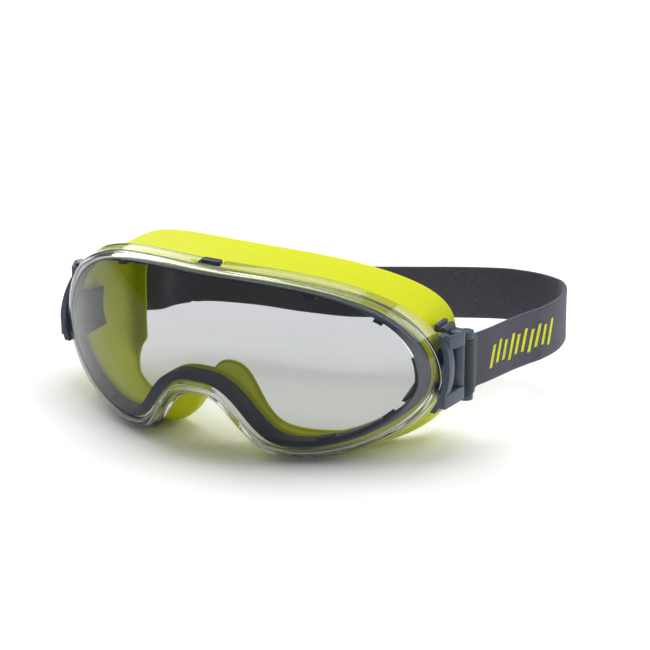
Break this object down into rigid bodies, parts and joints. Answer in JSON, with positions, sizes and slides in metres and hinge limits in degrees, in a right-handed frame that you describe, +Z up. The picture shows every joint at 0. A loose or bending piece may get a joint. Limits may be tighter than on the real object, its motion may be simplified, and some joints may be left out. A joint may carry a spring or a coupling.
{
  "type": "safety goggles",
  "caption": "Panoramic safety goggles with a clear turned-back lens, hard frame ring, soft face seal, hinged lens clips and an elastic headband with a length slider.",
  "frame": {"origin": "on the surface that the goggles rest on, under the middle of their outer size", "axes": "+Z up, the lens faces -Y, +X towards the wearer's left"},
  "size_m": [0.208, 0.163, 0.0849],
  "materials": {
    "clear_lens": "clear, polished",
    "slate_frame": "fine matte",
    "lime_seal": "soft, finely grained",
    "dark_latch": "fine matte",
    "inner_plate": "fine matte",
    "slate_mount": "fine matte",
    "slate_clip": "fine matte",
    "pin_steel": "brushed",
    "webbing": "close woven elastic",
    "sewn_sleeve": "close woven elastic"
  },
  "bodies": {
    "goggles": {"lens": "clear_lens", "frame": "slate_frame", "face_seal": "lime_seal", "seal_bead": "lime_seal", "temple_plate_left": "inner_plate", "temple_plate_right": "inner_plate", "vent_block_left": "slate_mount", "vent_block_right": "slate_mount", "strap_mount_left": "slate_mount", "strap_mount_right": "slate_mount", "strap_bar_left": "slate_mount", "strap_bar_right": "slate_mount", "clip_pin_left": "pin_steel", "clip_pin_right": "pin_steel", "headband": "webbing", "strap_sleeve_left": "sewn_sleeve", "strap_sleeve_right": "sewn_sleeve"},
    "left_clip": {"clip_left": "slate_clip"},
    "right_clip": {"clip_right": "slate_clip"},
    "latch": {"top_latch": "dark_latch"},
    "slider": {"strap_slider": "slate_mount"}
  },
  "joints": [
    {"name": "clip_left_hinge", "type": "hinge", "parent": "goggles", "child": "left_clip", "pos_m": [0.08987, -0.01935, 0.0397], "axis": [0, 0, 1], "range_deg": [0, 75]},
    {"name": "clip_right_hinge", "type": "hinge", "parent": "goggles", "child": "right_clip", "pos_m": [-0.10013, -0.01935, 0.0397], "axis": [0, 0, -1], "range_deg": [0, 75]},
    {"name": "top_latch_press", "type": "slide", "parent": "goggles", "child": "latch", "axis": [0, 0, -1], "range_m": [0, 0.0009], "stiffness_N_per_m": 400},
    {"name": "slider_travel", "type": "slide", "parent": "goggles", "child": "slider", "axis": [0.7399, 0.6727, 0], "range_m": [0, 0.0045]}
  ]
}
